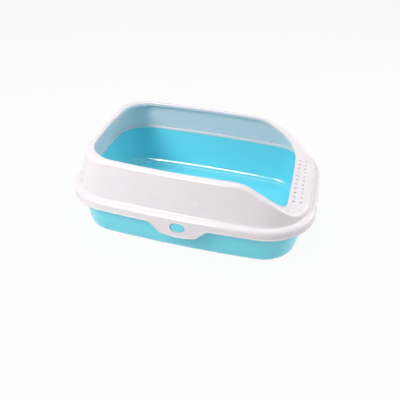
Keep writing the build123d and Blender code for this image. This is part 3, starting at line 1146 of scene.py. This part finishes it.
@dataclass
class SnapTab:
    """A flexing tab in the middle of a long side: plate, oval window, edge bead and two nubs."""

    side: Side
    half_top: float = 57.0
    half_foot: float = 36.0
    foot_height: float = 60.5
    foot_point: float = 53.4
    outer_radius: float = 9.0
    inner_radius: float = 12.0
    crown_radius: float = 120.0
    window_half_width: float = 15.0
    window_half_height: float = 11.25
    bead_root: float = 1.5
    nub_pitch: float = 6.4
    nub_radius: float = 1.5
    nub_height: float = 57.0
    nub_proud: float = 0.9
    nub_root: float = 1.0
    nub_steps: int = 24
    bend_from: float = 84.0
    bend_to: float = 70.0

    @property
    def name(self) -> str:
        """The side's name, as it stands in the names of the tab's body, node and piece."""
        return self.side.name.lower()

    def place(self, along: np.ndarray, height: Number, out: Number) -> np.ndarray:
        """Puts points of the tab's own front view on the skirt's surface.

        Args:
            along: Distances from the tab's middle.
            height: Heights above the floor.
            out: How far each point stands out of the surface.

        Returns:
            3-D points.
        """
        x = TAB_X + np.asarray(along, float)
        y, outward = BOX_FORM.side_at(x)
        flat = np.column_stack([x, y]) + outward * np.broadcast_to(out, x.shape)[:, None]
        flat[:, 1] *= self.side.value
        return np.column_stack([flat, np.broadcast_to(height, x.shape)])

    def edge_line(self) -> np.ndarray:
        """Draws the tab's lower edge in its front view, from one end of the panel to the other.

        Returns:
            Rows of distance from the tab's middle and height.
        """
        right = [
            (self.half_foot, self.foot_height, self.outer_radius),
            (self.half_top, SKIRT_EDGE, self.inner_radius),
            (TAB_HALF, SKIRT_EDGE, 0.0),
        ]
        left = [(-along, height, radius) for along, height, radius in right[::-1]]
        corners = [*left, (0.0, self.foot_point, self.crown_radius), *right]
        line = [np.array(corners[0][:2])]
        for before, corner, after in zip(corners, corners[1:], corners[2:]):
            point, radius = np.array(corner[:2]), corner[2]
            back, ahead = np.array(before[:2]) - point, np.array(after[:2]) - point
            back, ahead = back / np.linalg.norm(back), ahead / np.linalg.norm(ahead)
            half = np.arccos(np.clip(back @ ahead, -1, 1)) / 2
            middle = (back + ahead) / np.linalg.norm(back + ahead)
            centre = point + middle * radius / sin(half)
            first = point + back * radius / tan(half) - centre
            last = point + ahead * radius / tan(half) - centre
            start = atan2(first[1], first[0])
            turn = (atan2(last[1], last[0]) - start + pi) % (2 * pi) - pi
            for angle in start + turn * np.linspace(0, 1, 13):
                line.append(centre + radius * np.array([cos(angle), sin(angle)]))
        line.append(np.array(corners[-1][:2]))
        return np.array(line)

    def add_strip(
        self, parts: MeshParts, along: np.ndarray, heights: list[np.ndarray], lower: bool
    ) -> None:
        """Adds one strip of the plate: front, back and edges.

        Args:
            parts: The tab's mesh.
            along: The columns' distances from the tab's middle.
            heights: The rows' heights at each column, from below.
            lower: Whether the strip lies below the window, or above it.
        """
        front = [parts.add(self.place(along, height, 0.0)) for height in heights]
        back = [parts.add(self.place(along, height, -WALL)) for height in heights]
        places = range(len(along) - 1)
        for low, high in zip(front, front[1:]):
            parts.join(low, high, places)
        for low, high in zip(back, back[1:]):
            parts.join(high, low, places)
        middles = np.abs(along[:-1] + along[1:]) / 2
        window = [place for place in places if middles[place] < self.window_half_width]
        parts.join(back[0], front[0], places if lower else window)
        parts.join(front[-1], back[-1], window if lower else places)
        for place in (0, len(along) - 1):
            for row in range(len(heights) - 1):
                corners = (front[row], front[row + 1], back[row + 1], back[row])
                parts.faces.append(tuple(corner + place for corner in corners))

    def add_plate(self, parts: MeshParts) -> None:
        """Adds the plate, in columns that run from the lower edge up and part at the window.

        Args:
            parts: The tab's mesh.
        """
        edge, half_width = self.edge_line(), self.window_half_width
        swing = np.linspace(-pi / 2, pi / 2, 25)
        outer = np.linspace(half_width, TAB_HALF, 30)
        along = np.concatenate([-outer[::-1], (half_width * np.sin(swing))[1:-1], outer])
        low = np.interp(along, edge[:, 0], edge[:, 1])
        beside = np.interp(half_width, edge[:, 0], edge[:, 1])
        share = (WINDOW_HEIGHT - beside) / (TAB_ROOT - beside)
        half = self.window_half_height * np.sqrt(np.clip(1 - (along / half_width) ** 2, 0, None))
        level = np.where(np.abs(along) < half_width, WINDOW_HEIGHT, low + (TAB_ROOT - low) * share)
        lower = [low + (level - half - low) * t for t in np.linspace(0, 1, 10)]
        upper = [level + half + (TAB_ROOT - level - half) * t for t in np.linspace(0, 1, 7)]
        self.add_strip(parts, along, lower, True)
        self.add_strip(parts, along, upper, False)

    def add_bead(self, parts: MeshParts) -> None:
        """Adds the bead that carries the skirt's own bead round the tab's lower edge.

        Args:
            parts: The tab's mesh.
        """
        edge = self.edge_line()
        run = np.gradient(edge, axis=0)
        run /= np.linalg.norm(run, axis=1)[:, None]
        across = np.column_stack([-run[:, 1], run[:, 0]])
        flank, turn = BEAD_PROUD - BEAD_ROUND, BEAD_ROUND
        loop = [(0.0, -self.bead_root), (0.0, flank)]
        loop += quarter((turn, flank), turn, 180, 90, 4)[1:]
        loop += quarter((BEAD_HEIGHT - turn, flank), turn, 90, 0, 4)
        up, out = np.array([*loop, (BEAD_HEIGHT, -self.bead_root)]).T
        sections = []
        for point, normal in zip(edge, across):
            flat = point + normal * up[:, None]
            sections.append(self.place(flat[:, 0], flat[:, 1], out))
        parts.bar(sections)

    def add_nubs(self, parts: MeshParts) -> None:
        """Adds the two grip nubs at the tab's foot.

        Args:
            parts: The tab's mesh.
        """
        turn = np.linspace(0, 2 * pi, self.nub_steps, endpoint=False)
        top = BEAD_PROUD + self.nub_proud
        crown = [(0.0, top - 0.7), (0.15, top - 0.3), (0.45, top - 0.08), (0.8, top)]
        for sign in (-1, 1):
            rings = []
            for drawn_in, out in [(0.0, -self.nub_root), *crown]:
                radius = self.nub_radius - drawn_in
                along = sign * self.nub_pitch / 2 + radius * np.cos(turn)
                rings.append(self.place(along, self.nub_height + radius * np.sin(turn), out))
            parts.bar(rings)

    def mesh(self) -> bpy.types.Object:
        """Meshes the whole tab.

        Returns:
            The tab.
        """
        parts = MeshParts()
        self.add_plate(parts)
        self.add_bead(parts)
        self.add_nubs(parts)
        return parts.build(f"{self.name}_tab")

    def dress(self, piece: bpy.types.Object, plastic: bpy.types.Material) -> None:
        """Gives the tab its plastic, bakes its place into its mesh and hides the solid that it
        stands for.

        Args:
            piece: The tab.
            plastic: Its material.
        """
        piece.data.materials.append(plastic)
        f"{self.name}_tab"
        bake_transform(piece)
        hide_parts(f"{self.name}_snap_tab")


@dataclass(frozen=True)
class SoftBox:
    """A soft box that hangs in a direction from the object and faces it, in metres and watts.

    Attributes:
        name: Name of the lamp.
        direction: Where it hangs, seen from the object.
        power: Its power.
        size: Its width and height.
        gloss_only: Whether it only draws highlights and sheds no light on matt surfaces.
        distance: Its distance from the object.
        aim: Height of the point that it faces.
    """

    name: str
    direction: tuple[float, float, float]
    power: float
    size: tuple[float, float]
    gloss_only: bool = False
    distance: float = 1.6
    aim: float = 0.08

    def hang(self) -> None:
        """Hangs the soft box."""
        data = bpy.data.lights.new(self.name, "AREA")
        data.shape, data.size, data.size_y = "RECTANGLE", *self.size
        data.energy = self.power
        lamp = bpy.data.objects.new(self.name, data)
        bpy.context.scene.collection.objects.link(lamp)
        away = Vector(self.direction).normalized()
        lamp.location = away * self.distance + Vector((0.0, 0.0, self.aim))
        lamp.rotation_mode = "QUATERNION"
        lamp.rotation_quaternion = (-away).to_track_quat("-Z", "Y")
        lamp.visible_diffuse = not self.gloss_only


@dataclass(frozen=True)
class Studio:
    """Camera, floor, surroundings and soft boxes.

    Attributes:
        azimuth: The camera's place round the object, in degrees from the near long side.
        elevation: Its height above the horizon, in degrees.
        roll: How far it is tipped, in degrees.
        distance: Its distance from its target.
        target: The point that it faces.
        lens: Its focal length.
        sensor: Width of its sensor.
        clip: Nearest and furthest distance that it sees, in metres.
        floor_size: Width of the floor, in metres.
        floor_shades: The two greys of the floor's grain.
        floor_white: Share of plain white in what the camera sees of the floor.
        fill: Strength of the light from the surroundings.
        lamps: The soft boxes.
    """

    azimuth: float = 12.515
    elevation: float = 36.243
    roll: float = 2.770
    distance: float = 1100.0
    target: tuple[float, float, float] = (-1.86, 0.0, 19.70)
    lens: float = 43.85
    sensor: float = 36.0
    clip: tuple[float, float] = (0.05, 50.0)
    floor_size: float = 30.0
    floor_shades: tuple[float, float] = (0.8, 0.82)
    floor_white: float = 0.93
    fill: float = 0.2
    lamps: tuple[SoftBox, ...] = (
        SoftBox("left_front_box", (-0.5, -0.64, 0.66), 15.0, (0.55, 0.55)),
        SoftBox("right_box", (0.95, 0.05, 0.4), 5.0, (0.7, 0.7)),
        SoftBox("right_back_box", (0.85, 0.48, 0.37), 6.5, (0.7, 0.7)),
        SoftBox("overhead_box", (0.0, 0.1, 1.0), 8.5, (0.9, 0.6)),
        SoftBox("strip_box", (-0.235, -0.8, 0.56), 30.0, (0.45, 0.04), gloss_only=True),
    )

    def camera(self) -> None:
        """Sets the camera at the photograph's viewing angle."""
        a, e, r = radians(self.azimuth), radians(self.elevation), radians(self.roll)
        back = Vector((sin(a) * cos(e), -cos(a) * cos(e), sin(e)))
        right = Vector((cos(a), sin(a), 0.0))
        up = back.cross(right)
        across = cos(r) * right + sin(r) * up
        upward = cos(r) * up - sin(r) * right
        data = bpy.data.cameras.new("camera")
        data.lens, data.sensor_width = self.lens, self.sensor
        data.clip_start, data.clip_end = self.clip
        camera = bpy.data.objects.new("camera", data)
        bpy.context.scene.collection.objects.link(camera)
        place = (Vector(self.target) + back * self.distance) * MM
        rows = [[across[i], upward[i], back[i], place[i]] for i in range(3)]
        camera.matrix_world = Matrix([*rows, [0, 0, 0, 1]])
        bpy.context.scene.camera = camera

    @staticmethod
    def seen_directly(graph: Graph) -> Socket:
        """Tells what is looked at from what only sheds light.

        Args:
            graph: The material's or the world's nodes.

        Returns:
            1 where the camera, a reflection or a view through something looks, otherwise 0.
        """
        seen: Value = 0.0
        for ray in ("Is Camera Ray", "Is Glossy Ray", "Is Transmission Ray"):
            looking = graph.node("ShaderNodeLightPath", {}, {}, ray)
            seen = looking.math("MAXIMUM", looking, seen)
        return seen

    def floor(self) -> None:
        """Lays the pale floor, which looks white apart from the object's soft shadow."""
        bpy.ops.mesh.primitive_plane_add(size=self.floor_size)
        floor = bpy.context.object
        floor.name = "floor"
        graph = Graph(bpy.data.materials.new("pale_floor"))
        grain = graph.node("ShaderNodeTexNoise", {}, {"Scale": 40.0, "Detail": 2.0}, "Fac")
        dark, light = ((grey, grey, grey, 1.0) for grey in self.floor_shades)
        tint = graph.node("ShaderNodeMix", {"data_type": "RGBA"}, {0: grain, 6: dark, 7: light}, 2)
        matt = graph.node("ShaderNodeBsdfDiffuse", {}, {"Color": tint})
        white = graph.node("ShaderNodeEmission", {}, {"Color": WHITE, "Strength": 1.0})
        share = self.seen_directly(graph) * self.floor_white
        surface = graph.node("ShaderNodeMixShader", {}, {0: share, 1: matt, 2: white})
        floor.data.materials.append(graph.finish(surface))

    def surroundings(self) -> None:
        """Sets pale surroundings that light everything evenly and look white."""
        world = bpy.data.worlds.new("studio")
        bpy.context.scene.world = world
        graph = Graph(world)
        light = graph.node("ShaderNodeBackground", {}, {"Color": WHITE, "Strength": self.fill})
        white = graph.node("ShaderNodeBackground", {}, {"Color": WHITE, "Strength": 1.0})
        seen = self.seen_directly(graph)
        graph.finish(graph.node("ShaderNodeMixShader", {}, {0: seen, 1: light, 2: white}))

    def build(self) -> None:
        """Sets up the whole studio."""
        self.camera()
        self.floor()
        self.surroundings()
        for lamp in self.lamps:
            lamp.hang()
        bpy.context.scene.view_settings.view_transform = "Standard"


def main() -> None:
    """Builds the studio and the four pieces."""
    logging.basicConfig(level=logging.INFO, format="%(name)s: %(message)s")
    Studio().build()
    blue, white = PAN_PLASTIC.material(), SURROUND_PLASTIC.material()
    mouldings = [(LitterPan(), blue), (SplashSurround(), white)]
    tabs = [(SnapTab(side), white) for side in Side]
    for moulding, plastic in [*mouldings, *tabs]:
        piece = moulding.mesh()
        moulding.dress(piece, plastic)
        LOG.info("%s: %d faces", piece.name, len(piece.data.polygons))


if __name__ == "__main__":
    main()
